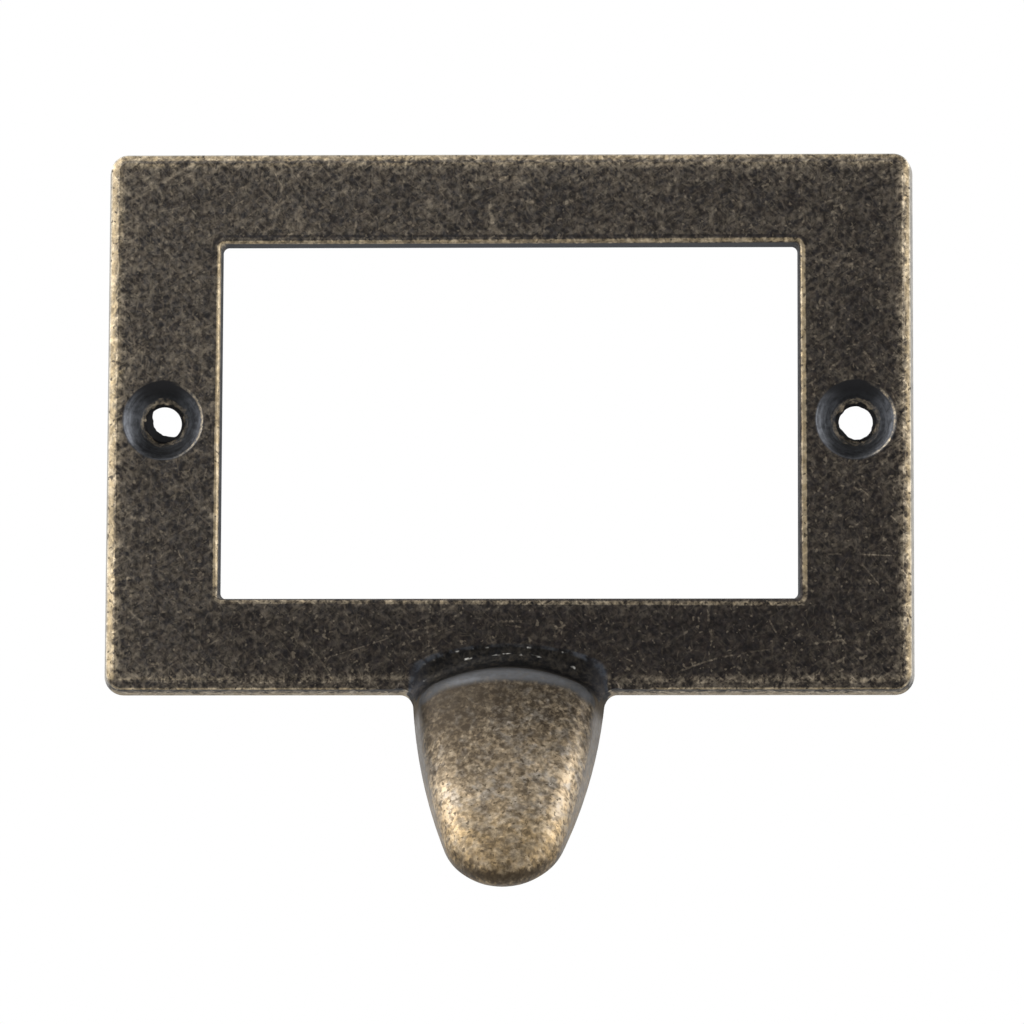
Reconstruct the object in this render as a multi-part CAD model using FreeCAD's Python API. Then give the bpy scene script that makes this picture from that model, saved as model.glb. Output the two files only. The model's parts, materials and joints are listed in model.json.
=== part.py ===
import FreeCAD, Part

import math
import os

# Label frame pull: one casting, a plate with a window for a card and a finger tongue below it.
# Frame of the part: X to the right, the front faces -Y, +Z up, millimetres.
# The origin lies midway between the two screw holes, on the plane that meets the drawer front.
# "out" is the distance in front of that plane, so a point lies at y = -out.

# Mould
DRAFT = 7.0                 # degrees, every side wall leans in by this much towards the front

# Plate, its outline measured on the back plane
WIDTH = 70.0
HEIGHT = 47.5
THICKNESS = 2.3
CORNER_RADIUS = 1.7
BEVEL_WIDTH = 0.75          # flat bevel round the front, measured across the face
BEVEL_DROP = 0.35           # and in depth
ARRIS_RADIUS = 0.15         # tumbled edges on both sides of the bevel

# Window
SIDE_BORDER = 9.85          # from the plate's side edges to the window's front edge
TOP_BORDER = 8.1            # from the plate's top and lower edges to it
WINDOW_CORNER = 0.35        # at the front
WINDOW_BACK_CORNER = 0.6
WINDOW_ARRIS = 0.4          # rounding of its front edge

# Card recess in the back, open at the top edge
RECESS_DEPTH = 0.8
RECESS_MARGIN = 1.5         # how far the card reaches behind the edge of the window
RECESS_CORNER = 1.0

# Screw holes
HOLE_INSET = 5.0            # from the plate's side edges to the axes of the holes
HEAD_DIAMETER = 6.9
HEAD_ANGLE = 90.0           # degrees, full angle of the countersink
SEAT_DIAMETER = 3.7         # where the countersink ends
LEAD_DEPTH = 0.2            # short cone from there into the bore
BORE_DIAMETER = 3.2
RIM_ARRIS = 0.15            # rounding of the countersink's rim

# Finger tongue, its outline as seen from the front, laid out on the back plane
DROP = 18.5                 # from the plate's lower edge down to the lowest point of the tip
TONGUE_WIDTH = 16.6
WIDEST_BELOW = 1.0          # from the plate's lower edge down to where the sides are widest
TIP_RADIUS = 6.7
ARCH_RISE = 2.35            # how far the arch stands above the plate's lower edge
ARCH_RADIUS = 15.0
SHOULDER_RADIUS = 2.6

# Finger tongue, its depth
FACE_START = 6.2            # how far the face stands out at the height of the arch's top
FACE_LEAN = 30.0            # degrees, the face leans out towards the tip
CROWN_AXIS = 9.0            # the axis of the face's cone lies this far behind the back plane
TIP_THICKNESS = 2.6
RIM_START = 1.2             # from the plate's lower edge down to where the back rim begins
RIM_SAG = 0.8               # how far the rim bows towards the drawer from a straight line

# Hollow behind the tongue
SHELL_SIDE = 2.0            # metal at the sides and the tip
SHELL_TOP = 3.8             # metal between the arch and the hollow
SHELL_FACE = 2.3            # metal behind the face
HOLLOW_CORNER = 0.25        # corners beside the hollow's top, where they are tightest
HOLLOW_RADIUS = 1.0         # rounding of the hollow's bottom

# Rounding of the tongue
CREST_RADIUS = 2.9          # front edge over the arch
SHOULDER_EDGE_RADIUS = 2.1  # and where it meets the shoulders
SIDE_EDGE_RADIUS = 2.5
TIP_EDGE_RADIUS = 1.2
RIM_EDGE_RADIUS = 0.35      # edges of the back rim, outside and in the hollow's mouth
COVE_RADIUS = 2.5           # inside round between the arch and the plate's face
COVE_SIDE_RADIUS = 1.6      # the same round where it runs down beside the tongue
WEB_RADIUS = 1.1            # inside round between the plate's lower edge and the tongue's sides
PAD_MARGIN = 0.2            # how far the plate stays flat round the foot of the cove

CLEAR = 10.0                # how far a cutting tool runs past what it cuts

# What follows from these
WINDOW_WIDTH = WIDTH - 2 * SIDE_BORDER
WINDOW_HEIGHT = HEIGHT - 2 * TOP_BORDER
LOWER_EDGE = -HEIGHT / 2
TIP = LOWER_EDGE - DROP
ARCH_TOP = LOWER_EDGE + ARCH_RISE
SHOULDER_LINE = THICKNESS - BEVEL_DROP      # out to where the plate's side wall meets the bevel


def at(x, out, z):
    return FreeCAD.Vector(x, -out, z)


def slope(angle):
    return math.tan(math.radians(angle))


def lean_in(depth):
    """How far a side wall leans in over this depth."""
    return depth * slope(DRAFT)


def arc(centre, radius, start, end, out):
    """Arc round an (x, z) centre from one angle to another, in the plane at this distance out."""
    angles = (start, (start + end) / 2, end)
    points = [at(centre[0] + radius * math.cos(a), out, centre[1] + radius * math.sin(a)) for a in angles]
    return Part.Arc(*points).toShape()


def closed_wire(pieces):
    """Joins edges end to end, in their order, with straight lines wherever two ends lie apart."""
    edges = []
    for piece, following in zip(pieces, pieces[1:] + pieces[:1]):
        edges.append(piece)
        here = piece.valueAt(piece.LastParameter)
        there = following.valueAt(following.FirstParameter)
        if here.distanceToPoint(there) > 1e-6:
            edges.append(Part.makeLine(here, there))
    return Part.Wire(edges)


def rounded_rectangle(width, height, radius, out, middle=0.0):
    """Closed wire in the plane at this distance out, its middle at the given height."""
    x, z = width / 2 - radius, height / 2 - radius
    quarter = math.pi / 2
    corners = []
    for turn, (cx, cz) in enumerate([(x, z), (-x, z), (-x, -z), (x, -z)]):
        corners.append(arc((cx, middle + cz), radius, turn * quarter, (turn + 1) * quarter, out))
    return closed_wire(corners)


def ruled_solid(wires):
    return Part.makeLoft(wires, True, True)


def single(shape):
    """The one solid that a shape holds."""
    if len(shape.Solids) != 1:
        raise ValueError("expected one solid, found %d" % len(shape.Solids))
    return shape.Solids[0]


def right_half(shape):
    side = WIDTH + HEIGHT
    box = Part.makeBox(side, 2 * side, 2 * side, FreeCAD.Vector(0, -side, -side))
    return single(shape.common(box))


def spans(edge, out):
    """Whether the whole edge lies in the plane at this distance out."""
    return abs(edge.BoundBox.YMin + out) < 1e-4 and abs(edge.BoundBox.YMax + out) < 1e-4


# Plate

def plate_outline(out, inset=0.0):
    inset += lean_in(out)
    return rounded_rectangle(WIDTH - 2 * inset, HEIGHT - 2 * inset, CORNER_RADIUS - inset, out)


def plate():
    """Drafted side walls and a flat bevel, both edges of the bevel tumbled round."""
    front = plate_outline(THICKNESS, BEVEL_WIDTH - lean_in(BEVEL_DROP))
    sides = ruled_solid([plate_outline(0), plate_outline(SHOULDER_LINE)])
    bevel = ruled_solid([plate_outline(SHOULDER_LINE), front])
    body = single(sides.fuse(bevel).removeSplitter())
    arrises = [edge for edge in body.Edges if spans(edge, SHOULDER_LINE) or spans(edge, THICKNESS)]
    return body.makeFillet(ARRIS_RADIUS, arrises)


def window():
    """The opening, narrower towards the back."""
    less = 2 * lean_in(THICKNESS)
    return ruled_solid([
        rounded_rectangle(WINDOW_WIDTH - less, WINDOW_HEIGHT - less, WINDOW_BACK_CORNER, 0),
        rounded_rectangle(WINDOW_WIDTH, WINDOW_HEIGHT, WINDOW_CORNER, THICKNESS),
    ])


def on_window(edge):
    middle = edge.CenterOfMass
    return abs(middle.x) < WINDOW_WIDTH / 2 + 1e-3 and abs(middle.z) < WINDOW_HEIGHT / 2 + 1e-3


def card_recess():
    """Shallow step round the back of the window, run out through the top edge so that a card slides in."""
    low = -WINDOW_HEIGHT / 2 - RECESS_MARGIN
    high = HEIGHT / 2 + CLEAR
    width = WINDOW_WIDTH + 2 * RECESS_MARGIN
    outline = rounded_rectangle(width, high - low, RECESS_CORNER, -CLEAR, (high + low) / 2)
    return Part.Face(outline).extrude(at(0, CLEAR + RECESS_DEPTH, 0))


def screw_hole(x):
    """Countersink with a rounded rim, lead and bore, as one turned cutter."""
    half_angle = HEAD_ANGLE / 2
    mouth = HEAD_DIAMETER / 2
    seat = THICKNESS - (mouth - SEAT_DIAMETER / 2) / slope(half_angle)
    back = RIM_ARRIS * slope(45 - half_angle / 2)
    turn = math.radians(half_angle)
    centre = at(mouth + back, THICKNESS - RIM_ARRIS, 0)
    towards_rim = at(-back, RIM_ARRIS, 0).normalize()
    foot = at(mouth - back * math.sin(turn), THICKNESS - back * math.cos(turn), 0)
    crown = at(mouth + back, THICKNESS, 0)
    rim = Part.Arc(foot, centre + towards_rim * RIM_ARRIS, crown).toShape()
    beyond = THICKNESS + CLEAR
    shaft = Part.makePolygon([
        at(mouth + back, beyond, 0), at(0, beyond, 0), at(0, -CLEAR, 0), at(BORE_DIAMETER / 2, -CLEAR, 0),
        at(BORE_DIAMETER / 2, seat - LEAD_DEPTH, 0), at(SEAT_DIAMETER / 2, seat, 0), foot,
    ])
    profile = Part.Wire([Part.makeLine(crown, at(mouth + back, beyond, 0))] + shaft.Edges + [rim])
    cutter = Part.Face(profile).revolve(FreeCAD.Vector(0, 0, 0), FreeCAD.Vector(0, 1, 0), 360)
    cutter.translate(FreeCAD.Vector(x, 0, 0))
    return cutter


def finished_plate():
    body = single(plate().cut(window()))
    body = body.makeFillet(WINDOW_ARRIS, [e for e in body.Edges if spans(e, THICKNESS) and on_window(e)])
    for x in (HOLE_INSET - WIDTH / 2, WIDTH / 2 - HOLE_INSET):
        body = body.cut(screw_hole(x))
    return single(body.cut(card_recess()))


# Finger tongue, its right half

def face_out(z):
    """How far the middle of the tongue's face stands out at this height."""
    return FACE_START + (ARCH_TOP - z) * slope(FACE_LEAN)


TIP_OUT = face_out(TIP) - TIP_THICKNESS     # out to where the back rim ends
TIP_CENTRE = (0.0, TIP + TIP_RADIUS - lean_in(TIP_OUT))
ARCH_CENTRE = (0.0, ARCH_TOP - ARCH_RADIUS)


def side_circle():
    """Centre and radius of the long arc down the tongue's side, tangent to the tip's arc."""
    half = TONGUE_WIDTH / 2
    widest = LOWER_EDGE - WIDEST_BELOW
    drop = widest - TIP_CENTRE[1]
    radius = (half ** 2 + drop ** 2 - TIP_RADIUS ** 2) / (2 * (half - TIP_RADIUS))
    return (half - radius, widest), radius


def circles_meet(first, first_radius, second, second_radius):
    """The crossing of two circles in the (x, z) plane that lies further right."""
    dx, dz = second[0] - first[0], second[1] - first[1]
    apart = math.hypot(dx, dz)
    along = (first_radius ** 2 - second_radius ** 2 + apart ** 2) / (2 * apart)
    off = math.sqrt(first_radius ** 2 - along ** 2)
    crossings = []
    for s in (1, -1):
        crossings.append((first[0] + (along * dx - s * off * dz) / apart,
                          first[1] + (along * dz + s * off * dx) / apart))
    return max(crossings)


def bearing(centre, point):
    return math.atan2(point[1] - centre[1], point[0] - centre[0])


def tongue_outline(out, side_inset=0.0, top_inset=0.0, shoulder_radius=SHOULDER_RADIUS):
    """Right half of the tongue's outline: half the arch, shoulder, side and half the tip, all tangent.

    The arcs are laid out on the back plane and then drawn smaller round their own centres by the draft.
    The wire closes a little to the left of the middle, where a solid made from it is cut.
    """
    side, side_radius = side_circle()
    side_radius -= side_inset
    arch_radius, tip_radius = ARCH_RADIUS - top_inset, TIP_RADIUS - side_inset
    shoulder = circles_meet(ARCH_CENTRE, arch_radius - shoulder_radius, side, side_radius - shoulder_radius)
    up, turn, down = bearing(ARCH_CENTRE, shoulder), bearing(side, shoulder), bearing(side, TIP_CENTRE)
    less = lean_in(out)
    top = ARCH_CENTRE[1] + arch_radius - less
    bottom = TIP_CENTRE[1] - tip_radius + less
    return closed_wire([
        Part.makeLine(at(-1, out, top), at(0, out, top)),
        arc(ARCH_CENTRE, arch_radius - less, math.pi / 2, up, out),
        arc(shoulder, shoulder_radius - less, up, turn, out),
        arc(side, side_radius - less, turn, down, out),
        arc(TIP_CENTRE, tip_radius - less, down, -math.pi / 2, out),
        Part.makeLine(at(0, out, bottom), at(-1, out, bottom)),
    ])


def face_cone(set_back):
    """Solid cone about an upright axis behind the part. Its surface is the tongue's crowned face."""
    low = TIP - CLEAR
    radius = face_out(low) + CROWN_AXIS - set_back / math.cos(math.radians(FACE_LEAN))
    return Part.makeCone(radius, 0.0, radius / slope(FACE_LEAN), at(0, -CROWN_AXIS, low))


def crown_edges(body):
    """The edges round the crowned face, without the one in the middle plane."""
    crown = [face for face in body.Faces
             if face.Surface.TypeId == "Part::GeomCone" and abs(face.Surface.Axis.z) > 0.99]
    return off_middle(crown[0].Edges)


def off_middle(edges):
    return [edge for edge in edges if edge.CenterOfMass.x > 1e-3]


def rounded(shape, chain, radii):
    """Rounds a chain of edges that falls from its first edge to its last.

    The radius runs from one value to the next along each edge, so there is one value more than edges.
    """
    falling = sorted(chain, key=lambda edge: -edge.CenterOfMass.z)
    numbers = {edge.hashCode(): number for number, edge in enumerate(shape.Edges, 1)}
    sizes = []
    for edge, upper, lower in zip(falling, radii, radii[1:]):
        runs_down = edge.valueAt(edge.FirstParameter).z > edge.valueAt(edge.LastParameter).z
        first, last = (upper, lower) if runs_down else (lower, upper)
        sizes.append((numbers[edge.hashCode()], first, last))
    document = FreeCAD.newDocument()
    base = document.addObject("Part::Feature", "base")
    base.Shape = shape
    fillet = document.addObject("Part::Fillet", "fillet")
    fillet.Base = base
    fillet.Edges = sizes
    document.recompute()
    result = single(fillet.Shape.copy())
    FreeCAD.closeDocument(document.Name)
    return result


def crested_tongue():
    """Drafted walls under the crowned face, its edge widest over the arch and tightest at the tip."""
    walls = ruled_solid([tongue_outline(0), tongue_outline(face_out(TIP))])
    blank = right_half(walls.common(face_cone(0)))
    radii = [CREST_RADIUS, SHOULDER_EDGE_RADIUS, SIDE_EDGE_RADIUS, SIDE_EDGE_RADIUS, TIP_EDGE_RADIUS]
    return rounded(blank, crown_edges(blank), radii)


def pad_outline(out, margin):
    """The tongue's outline grown until it holds the foot of the cove, and margin more."""
    foot = slope(45 - DRAFT / 2)
    side, top = foot * COVE_SIDE_RADIUS + margin, foot * COVE_RADIUS + margin
    return tongue_outline(out, -side, -top, SHOULDER_RADIUS + side)


def pad():
    """The plate's metal under the cove. Its edge slopes down like the plate's bevel."""
    wide = PAD_MARGIN + BEVEL_DROP
    base = ruled_solid([pad_outline(0, wide), pad_outline(SHOULDER_LINE, wide)])
    rim = ruled_solid([pad_outline(SHOULDER_LINE, wide), pad_outline(THICKNESS, PAD_MARGIN)])
    low = LOWER_EDGE - 4 * WEB_RADIUS
    keep = Part.makeBox(WIDTH, 3 * THICKNESS, HEIGHT, FreeCAD.Vector(0, -2 * THICKNESS, low))
    return single(base.fuse(rim).common(keep))


def web_void(out):
    """Outline of the air beside the tongue and below the plate, round in the corner between them."""
    side, side_radius = side_circle()
    less = lean_in(out)
    low, far = LOWER_EDGE - 6 * WEB_RADIUS, WIDTH / 2
    rise = LOWER_EDGE - WEB_RADIUS - side[1]
    web = (side[0] + math.sqrt((side_radius + WEB_RADIUS) ** 2 - rise ** 2), side[1] + rise)
    outward = bearing(side, web)
    lowest = math.asin((low - side[1]) / side_radius)
    return closed_wire([
        arc(web, WEB_RADIUS + less, math.pi / 2, outward + math.pi, out),
        arc(side, side_radius - less, outward, lowest, out),
        Part.makeLine(at(far, out, low), at(far, out, LOWER_EDGE + less)),
    ])


def rooted_tongue():
    """The tongue growing out of its pad through the cove, cut free beside and below."""
    body = single(pad().fuse(crested_tongue()).removeSplitter())
    root = [edge for edge in off_middle(body.Edges) if spans(edge, THICKNESS)
            and edge.BoundBox.XMax < TONGUE_WIDTH / 2 and edge.BoundBox.ZMax < ARCH_TOP]
    body = rounded(body, root, [COVE_RADIUS] + [COVE_SIDE_RADIUS] * len(root))
    air = ruled_solid([web_void(-1), web_void(THICKNESS + COVE_RADIUS)])
    return single(body.cut(air))


def behind_rim():
    """All that lies behind the tongue's bowed back rim, as a slab across the part."""
    start, end = at(0, 0, LOWER_EDGE - RIM_START), at(0, TIP_OUT, TIP)
    along = end - start
    towards_drawer = FreeCAD.Vector(0, -along.z, along.y).normalize()
    circle = Part.Circle(start, (start + end) * 0.5 + towards_drawer * RIM_SAG, end)
    rim = Part.ArcOfCircle(circle, 0, circle.parameter(end) * 1.3).toShape()
    last = rim.valueAt(rim.LastParameter)
    slab = Part.Face(closed_wire([rim, Part.makeLine(at(0, -CLEAR, last.z), at(0, -CLEAR, start.z))]))
    slab.translate(FreeCAD.Vector(-CLEAR, 0, 0))
    return slab.extrude(FreeCAD.Vector(TONGUE_WIDTH + CLEAR, 0, 0))


def hollow():
    """The cavity behind the tongue's face, open to the back, its bottom rounded."""
    corner = HOLLOW_CORNER + lean_in(TIP_OUT)
    outlines = [tongue_outline(out, SHELL_SIDE, SHELL_TOP, corner) for out in (-1, TIP_OUT)]
    cavity = right_half(ruled_solid(outlines).common(face_cone(SHELL_FACE)))
    return cavity.makeFillet(HOLLOW_RADIUS, crown_edges(cavity))


def rim_edges(body):
    """The curved edges of the back rim."""
    rim = [face for face in body.Faces
           if face.Surface.TypeId == "Part::GeomCylinder" and abs(face.Surface.Axis.x) > 0.99]
    return [edge for edge in off_middle(rim[0].Edges) if edge.Curve.TypeId != "Part::GeomLine"]


def touches(tool, edge):
    middle = edge.valueAt((edge.FirstParameter + edge.LastParameter) / 2)
    return tool.distToShape(Part.Vertex(middle))[0] < 1e-4


def finished_tongue():
    tongue = single(rooted_tongue().cut(behind_rim()))
    tongue = tongue.makeFillet(RIM_EDGE_RADIUS, rim_edges(tongue))
    cavity = hollow()
    tongue = tongue.cut(cavity)
    return tongue.makeFillet(RIM_EDGE_RADIUS, [edge for edge in rim_edges(tongue) if touches(cavity, edge)])


# Whole part

def label_frame_pull():
    half = right_half(finished_plate()).fuse(finished_tongue()).removeSplitter()
    other_half = half.mirror(FreeCAD.Vector(0, 0, 0), FreeCAD.Vector(1, 0, 0))
    return single(half.fuse(other_half).removeSplitter())


if __name__ == "__main__":
    os.makedirs("parts", exist_ok=True)
    label_frame_pull().exportStep("parts/label_frame_pull.step")
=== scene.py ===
"""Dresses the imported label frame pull: its antique brass finish, and the stage it is seen on.

Everything is in metres and in the casting's own frame: X to the right, the front faces -Y, +Z up,
the origin midway between the screw holes on the plane of the drawer front.
"""

import functools
import json
import math

import bpy
from mathutils import Matrix, Vector

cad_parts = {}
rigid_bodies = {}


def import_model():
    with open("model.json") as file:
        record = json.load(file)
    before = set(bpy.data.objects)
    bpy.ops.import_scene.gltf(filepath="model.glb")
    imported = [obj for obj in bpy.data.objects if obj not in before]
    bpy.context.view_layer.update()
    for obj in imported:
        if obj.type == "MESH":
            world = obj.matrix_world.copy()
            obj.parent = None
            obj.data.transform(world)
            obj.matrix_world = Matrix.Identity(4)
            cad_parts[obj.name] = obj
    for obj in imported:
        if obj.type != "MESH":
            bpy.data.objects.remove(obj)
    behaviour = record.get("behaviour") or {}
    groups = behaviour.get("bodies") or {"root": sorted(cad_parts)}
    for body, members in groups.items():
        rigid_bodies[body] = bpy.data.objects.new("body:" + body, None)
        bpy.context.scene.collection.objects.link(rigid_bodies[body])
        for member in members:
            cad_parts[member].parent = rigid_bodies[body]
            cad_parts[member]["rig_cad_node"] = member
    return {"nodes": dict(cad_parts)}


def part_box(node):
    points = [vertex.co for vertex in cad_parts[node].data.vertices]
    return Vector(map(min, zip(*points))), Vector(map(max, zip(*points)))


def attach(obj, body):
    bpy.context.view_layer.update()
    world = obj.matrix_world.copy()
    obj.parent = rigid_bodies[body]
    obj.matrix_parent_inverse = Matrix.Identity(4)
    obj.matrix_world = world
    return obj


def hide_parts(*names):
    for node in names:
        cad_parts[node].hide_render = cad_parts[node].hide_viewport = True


bl_info = {
    "name": "Label Frame Pull",
    "version": (1, 0, 0),
    "blender": (4, 5, 0),
    "location": "3D View > Sidebar > Label Pull",
    "description": "Builds the antique brass label frame pull and the stage it is seen on",
    "category": "Object",
}

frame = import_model()
bpy.context.view_layer.update()
CASTING_NODE = "label_frame_pull"
PIECE_NAME = "brass_casting"
NODE_LOW, NODE_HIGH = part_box(CASTING_NODE)
MM = 0.001
WHITE = (1, 1, 1, 1)
SEEN_FROM_FRONT = (1.0, 0.0, 1.0)


# Settings that the panel shows.

class PullCastingSettings(bpy.types.PropertyGroup):
    """How the casting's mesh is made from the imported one."""

    merge_distance: bpy.props.FloatProperty(
        name="Merge distance", description="Corners of the packed triangles closer than this become one",
        default=0.5e-6, min=0.0, precision=7, unit="LENGTH")
    smooth_angle: bpy.props.FloatProperty(
        name="Smooth angle", description="Edges flatter than this are shaded as one rounded surface",
        default=math.radians(24), min=0.0, max=math.pi, subtype="ANGLE")
    bore_radius: bpy.props.FloatProperty(
        name="Bore radius", description="Radius of the bores at the back", default=1.6 * MM, unit="LENGTH")
    hole_inset: bpy.props.FloatProperty(
        name="Hole inset", description="From the plate's side edges to the screw holes",
        default=5.0 * MM, unit="LENGTH")
    lip_out: bpy.props.FloatProperty(
        name="Lip position", description="How far in front of the back the ragged lip of a bore lies",
        default=0.33 * MM, unit="LENGTH")
    lip_thickness: bpy.props.FloatProperty(
        name="Lip thickness", description="Thickness of the ragged lip", default=0.24 * MM, unit="LENGTH")


class PullFinishSettings(bpy.types.PropertyGroup):
    """The antique finish: brass that was blackened, then relieved where hands and tumbling reach."""

    plate_width: bpy.props.FloatProperty(
        name="Plate width", description="Width of the plate on its back",
        default=NODE_HIGH.x - NODE_LOW.x, unit="LENGTH")
    plate_height: bpy.props.FloatProperty(
        name="Plate height", description="Height of the plate on its back",
        default=2 * NODE_HIGH.z, unit="LENGTH")
    plate_corner: bpy.props.FloatProperty(
        name="Plate corner", description="Corner radius of the plate", default=1.7 * MM, unit="LENGTH")
    window_width: bpy.props.FloatProperty(
        name="Window width", description="Width of the window at the front", default=50.3 * MM,
        unit="LENGTH")
    window_height: bpy.props.FloatProperty(
        name="Window height", description="Height of the window at the front", default=31.3 * MM,
        unit="LENGTH")
    window_corner: bpy.props.FloatProperty(
        name="Window corner", description="Corner radius of the window", default=0.35 * MM, unit="LENGTH")
    brass_colour: bpy.props.FloatVectorProperty(
        name="Brass", description="Bare brass on the tongue", subtype="COLOR", size=4,
        min=0, max=1, default=(0.465, 0.362, 0.240, 1))
    plate_brass: bpy.props.FloatVectorProperty(
        name="Plate brass", description="Duller brass that shows on the plate and its arrises",
        subtype="COLOR", size=4, min=0, max=1, default=(0.45, 0.353, 0.216, 1))
    tongue_patina: bpy.props.FloatVectorProperty(
        name="Tongue patina", description="Warm brown patina left on the tongue", subtype="COLOR", size=4,
        min=0, max=1, default=(0.037, 0.0252, 0.0130, 1))
    plate_patina: bpy.props.FloatVectorProperty(
        name="Plate patina", description="Brown-black patina of the plate", subtype="COLOR", size=4,
        min=0, max=1, default=(0.0205, 0.0170, 0.0150, 1))
    recess_patina: bpy.props.FloatVectorProperty(
        name="Recess patina", description="Blue-black patina of the walls and the countersinks",
        subtype="COLOR", size=4, min=0, max=1, default=(0.030, 0.0315, 0.035, 1))
    # The crest's colour is patina with a painted sheen, lighter than the plate's patina for the light the
    # crest reflects.
    crest_patina_and_sheen: bpy.props.FloatVectorProperty(
        name="Crest patina", description="Smooth blue-grey patina over the crest of the tongue",
        subtype="COLOR", size=4, min=0, max=1, default=(0.078, 0.080, 0.085, 1))
    # Black for the patina in the cove, and painted shade at the top of the countersinks and in the bores.
    deep_patina_and_shade: bpy.props.FloatVectorProperty(
        name="Deep patina", description="Dull black patina of the cove and the bores",
        subtype="COLOR", size=4, min=0, max=1, default=(0.0075, 0.0075, 0.0085, 1))
    plate_relief: bpy.props.FloatProperty(
        name="Plate relief", description="Share of the plate's face where brass shows through",
        default=0.067, min=0, max=1, subtype="FACTOR")
    tongue_relief: bpy.props.FloatProperty(
        name="Tongue relief", description="Share of the tongue's lower face where brass shows through",
        default=0.41, min=0, max=1, subtype="FACTOR")
    edge_relief: bpy.props.FloatProperty(
        name="Edge relief", description="Share of the bevels and arrises where brass shows through",
        default=0.635, min=0, max=1, subtype="FACTOR")


class PullStageSettings(bpy.types.PropertyGroup):
    """Camera, floor and lamps."""

    camera_distance: bpy.props.FloatProperty(
        name="Camera distance", description="From the origin to the camera", default=0.7, unit="LENGTH")
    camera_below: bpy.props.FloatProperty(
        name="Camera below", description="How far below the horizon the camera looks from",
        default=math.radians(10.0), subtype="ANGLE")
    camera_right: bpy.props.FloatProperty(
        name="Camera right", description="How far to the right the camera stands",
        default=math.radians(1.8), subtype="ANGLE")
    camera_roll: bpy.props.FloatProperty(
        name="Camera roll", description="Turns the picture clockwise", default=math.radians(0.22),
        subtype="ANGLE")
    lens: bpy.props.FloatProperty(
        name="Lens", description="Focal length on a 36 mm sensor", default=283.43, subtype="DISTANCE_CAMERA")
    floor_drop: bpy.props.FloatProperty(
        name="Floor drop", description="How far the floor lies below the origin", default=0.25,
        unit="LENGTH")
    floor_colour: bpy.props.FloatVectorProperty(
        name="Floor", description="Colour of the plain floor", subtype="COLOR", size=4,
        min=0, max=1, default=(0.86, 0.86, 0.86, 1))
    ambient: bpy.props.FloatProperty(
        name="Ambient", description="Brightness of the surroundings for matt surfaces", default=0.45, min=0)
    side_light: bpy.props.FloatProperty(
        name="Side lights", description="Brightness of the soft boxes left and right", default=2.2, min=0)
    top_light: bpy.props.FloatProperty(
        name="Top light", description="Brightness of the two raised soft boxes", default=2.9, min=0)
    overhead_light: bpy.props.FloatProperty(
        name="Overhead light", description="Brightness of the soft box nearly overhead", default=1.7, min=0)


# Helpers for shader nodes.

class NodeSheet:
    """Puts nodes into one shader tree, joins them and lays them out in rows."""

    ROW, WIDTH, HEIGHT = 9, 190, 260

    def __init__(self, tree):
        self.tree = tree
        self.count = 0

    def feed(self, socket, value):
        if isinstance(value, bpy.types.NodeSocket):
            self.tree.links.new(value, socket)
        else:
            socket.default_value = value

    def add(self, kind, inputs=None, **settings):
        node = self.tree.nodes.new(kind)
        node.location = (self.WIDTH * (self.count % self.ROW), -self.HEIGHT * (self.count // self.ROW))
        self.count += 1
        for name, value in settings.items():
            setattr(node, name, value)
        for name, value in (inputs or {}).items():
            self.feed(node.inputs[name], value)
        return node

    def math(self, operation, *values, clamp=False):
        node = self.add("ShaderNodeMath", dict(enumerate(values)), operation=operation, use_clamp=clamp)
        return node.outputs[0]

    def most(self, *values):
        """The greatest of several values."""
        return functools.reduce(lambda first, second: self.math("MAXIMUM", first, second), values)

    def times(self, *values):
        """The product of several values."""
        return functools.reduce(lambda first, second: self.math("MULTIPLY", first, second), values)

    def added(self, base, value, share):
        """The base with this share of a value added."""
        return self.math("MULTIPLY_ADD", value, share, base)

    def off(self, mask):
        """1 where the mask is 0."""
        return self.math("SUBTRACT", 1.0, mask)

    def vector(self, operation, *values):
        node = self.add("ShaderNodeVectorMath", dict(enumerate(values)), operation=operation)
        return node.outputs["Value" if operation == "LENGTH" else "Vector"]

    def scaled(self, vector, factor):
        node = self.add("ShaderNodeVectorMath", {0: vector, "Scale": factor}, operation="SCALE")
        return node.outputs["Vector"]

    def split(self, vector):
        return self.add("ShaderNodeSeparateXYZ", {0: vector}).outputs

    def ramp(self, value, start, end, low=0.0, high=1.0):
        """Smooth change from low to high as the value goes from start to end."""
        if start > end:
            start, end, low, high = end, start, high, low
        node = self.add("ShaderNodeMapRange", {
            "Value": value, "From Min": start, "From Max": end, "To Min": low, "To Max": high,
        }, interpolation_type="SMOOTHSTEP")
        return node.outputs["Result"]

    def blend(self, factor, first, second):
        """Numbers: first where the factor is 0, second where it is 1. The node takes them at 2 and 3."""
        return self.add("ShaderNodeMix", {0: factor, 2: first, 3: second}, data_type="FLOAT").outputs[0]

    def tint(self, factor, first, second, how="MIX"):
        """Colours, blended in the same way. The node takes them at 6 and 7 and gives the result at 2."""
        inputs = {0: factor, 6: first, 7: second}
        return self.add("ShaderNodeMix", inputs, data_type="RGBA", blend_type=how).outputs[2]

    def noise(self, vector, scale, detail, roughness=0.5, distortion=0.0):
        return self.add("ShaderNodeTexNoise", {
            "Vector": vector, "Scale": scale, "Detail": detail, "Roughness": roughness,
            "Distortion": distortion}).outputs[0]

    def grains(self, vector, scale):
        """Rounded grains, each of its own height, with sunk gaps between them, about 0 to 1."""
        gap, top, gap_height, least_height, height_swing = 0.75, 0.10, 0.55, 0.10, 0.95
        cells = self.add("ShaderNodeTexVoronoi", {"Vector": vector, "Scale": scale}).outputs
        own = self.add("ShaderNodeSeparateColor", {0: cells["Color"]}).outputs[0]
        dome = self.ramp(cells["Distance"], gap, top, gap_height, 1.0)
        return self.times(dome, self.added(least_height, own, height_swing))

    def group(self, tree, inputs):
        return self.add("ShaderNodeGroup", inputs, node_tree=tree).outputs


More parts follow.
